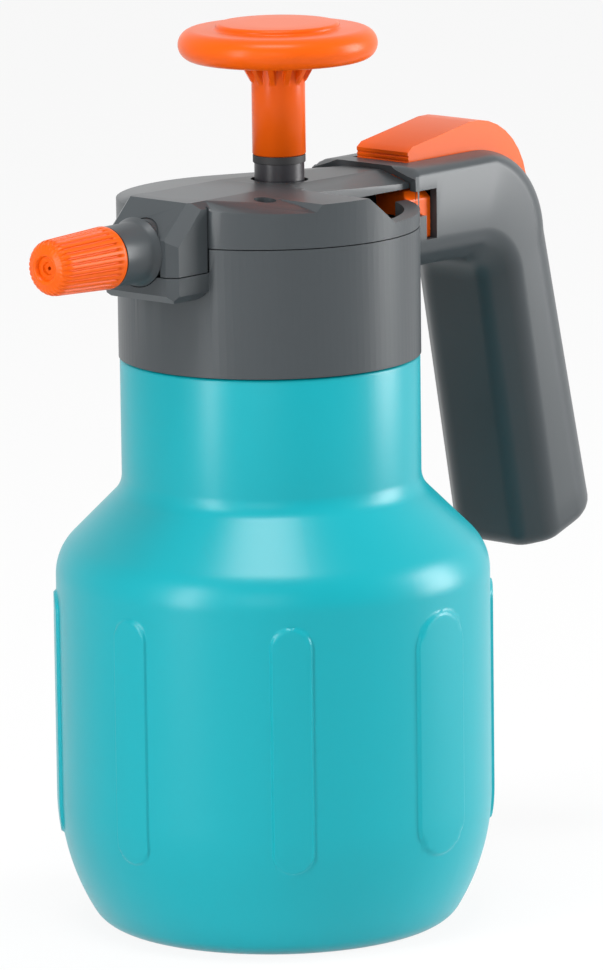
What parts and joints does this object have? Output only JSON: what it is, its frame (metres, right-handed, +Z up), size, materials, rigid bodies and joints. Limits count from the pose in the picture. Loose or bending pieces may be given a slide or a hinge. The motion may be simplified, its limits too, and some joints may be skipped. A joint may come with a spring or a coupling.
{
  "type": "pump sprayer",
  "caption": "Hand pump pressure sprayer with a teal bottle, dark grey screw-on head with side handle, orange palm knob, thumb trigger and spray cap",
  "frame": {"origin": "centre of the bottle's foot, on the standing plane", "axes": "+Z up along the bottle axis, -X towards the nozzle, +X towards the handle, +Y to the side away from the wide pad"},
  "size_m": [0.2167, 0.1256, 0.2583],
  "materials": {
    "teal_plastic": "blow-moulded, satin gloss",
    "grey_plastic": "injection-moulded, satin",
    "orange_plastic": "injection-moulded, semi-gloss",
    "black_plastic": "injection-moulded, satin",
    "white_plastic": "injection-moulded, natural",
    "hose_plastic": "extruded, translucent",
    "seal_rubber": "moulded",
    "bright_steel": "zinc plated"
  },
  "bodies": {
    "bottle": {"bottle": "teal_plastic"},
    "seal": {"neck_seal": "seal_rubber"},
    "head": {"head_collar": "grey_plastic", "head_cover": "grey_plastic", "handle_left": "grey_plastic", "handle_right": "grey_plastic", "handle_screws": "bright_steel", "trigger_pin": "bright_steel", "valve_body": "white_plastic", "valve_cap": "black_plastic", "valve_spring": "bright_steel", "riser_elbow": "white_plastic", "valve_hose": "hose_plastic", "nozzle_hose": "hose_plastic", "dip_tube": "hose_plastic", "strainer": "black_plastic", "nozzle_barrel": "grey_plastic", "nozzle_core": "white_plastic", "nozzle_oring": "seal_rubber", "pump_cylinder": "white_plastic", "cylinder_gasket": "seal_rubber", "pump_guide": "black_plastic", "check_valve": "seal_rubber", "relief_spring": "bright_steel"},
    "plunger": {"pump_knob": "orange_plastic", "plunger_rod": "black_plastic", "rod_ring": "seal_rubber", "piston": "black_plastic", "piston_seal": "seal_rubber"},
    "trigger": {"trigger_lever": "orange_plastic"},
    "stem": {"valve_stem": "white_plastic", "stem_seal": "seal_rubber"},
    "lock": {"lock_slide": "orange_plastic"},
    "spray_cap": {"nozzle_cap": "orange_plastic"},
    "relief": {"relief_pin": "white_plastic", "relief_seal": "seal_rubber"}
  },
  "joints": [
    {"name": "head_lift", "type": "slide", "parent": "bottle", "child": "seal", "axis": [0, 0, 1], "range_m": [0, 0.00625]},
    {"name": "head_turn", "type": "hinge", "parent": "seal", "child": "head", "pos_m": [0, 0, 0.178], "axis": [0, 0, 1], "range_deg": [0, 450]},
    {"name": "pump_stroke", "type": "slide", "parent": "head", "child": "plunger", "axis": [0, 0, 1], "range_m": [-0.026, 0.025]},
    {"name": "trigger_press", "type": "hinge", "parent": "head", "child": "trigger", "pos_m": [0.096, 0, 0.19633], "axis": [0, -1, 0], "range_deg": [0, 4], "stiffness_Nm_per_rad": 1.5},
    {"name": "valve_push", "type": "slide", "parent": "head", "child": "stem", "axis": [0, 0, -1], "range_m": [0, 0.0028], "deforming": ["valve_spring"]},
    {"name": "lock_travel", "type": "slide", "parent": "head", "child": "lock", "axis": [-1, 0, 0], "range_m": [0, 0.006]},
    {"name": "spray_turn", "type": "hinge", "parent": "head", "child": "spray_cap", "pos_m": [-0.08, 0, 0.20053], "axis": [1, 0, 0], "range_deg": [-180, 180]},
    {"name": "relief_push", "type": "slide", "parent": "head", "child": "relief", "axis": [0, 0, -1], "range_m": [0, 0.002], "stiffness_N_per_m": 300, "deforming": ["relief_spring"]}
  ],
  "couplings": [
    {"joint": "head_lift", "follows": "head_turn", "m_per_rad": 0.00079577},
    {"joint": "valve_push", "follows": "trigger_press", "m_per_rad": 0.039}
  ]
}
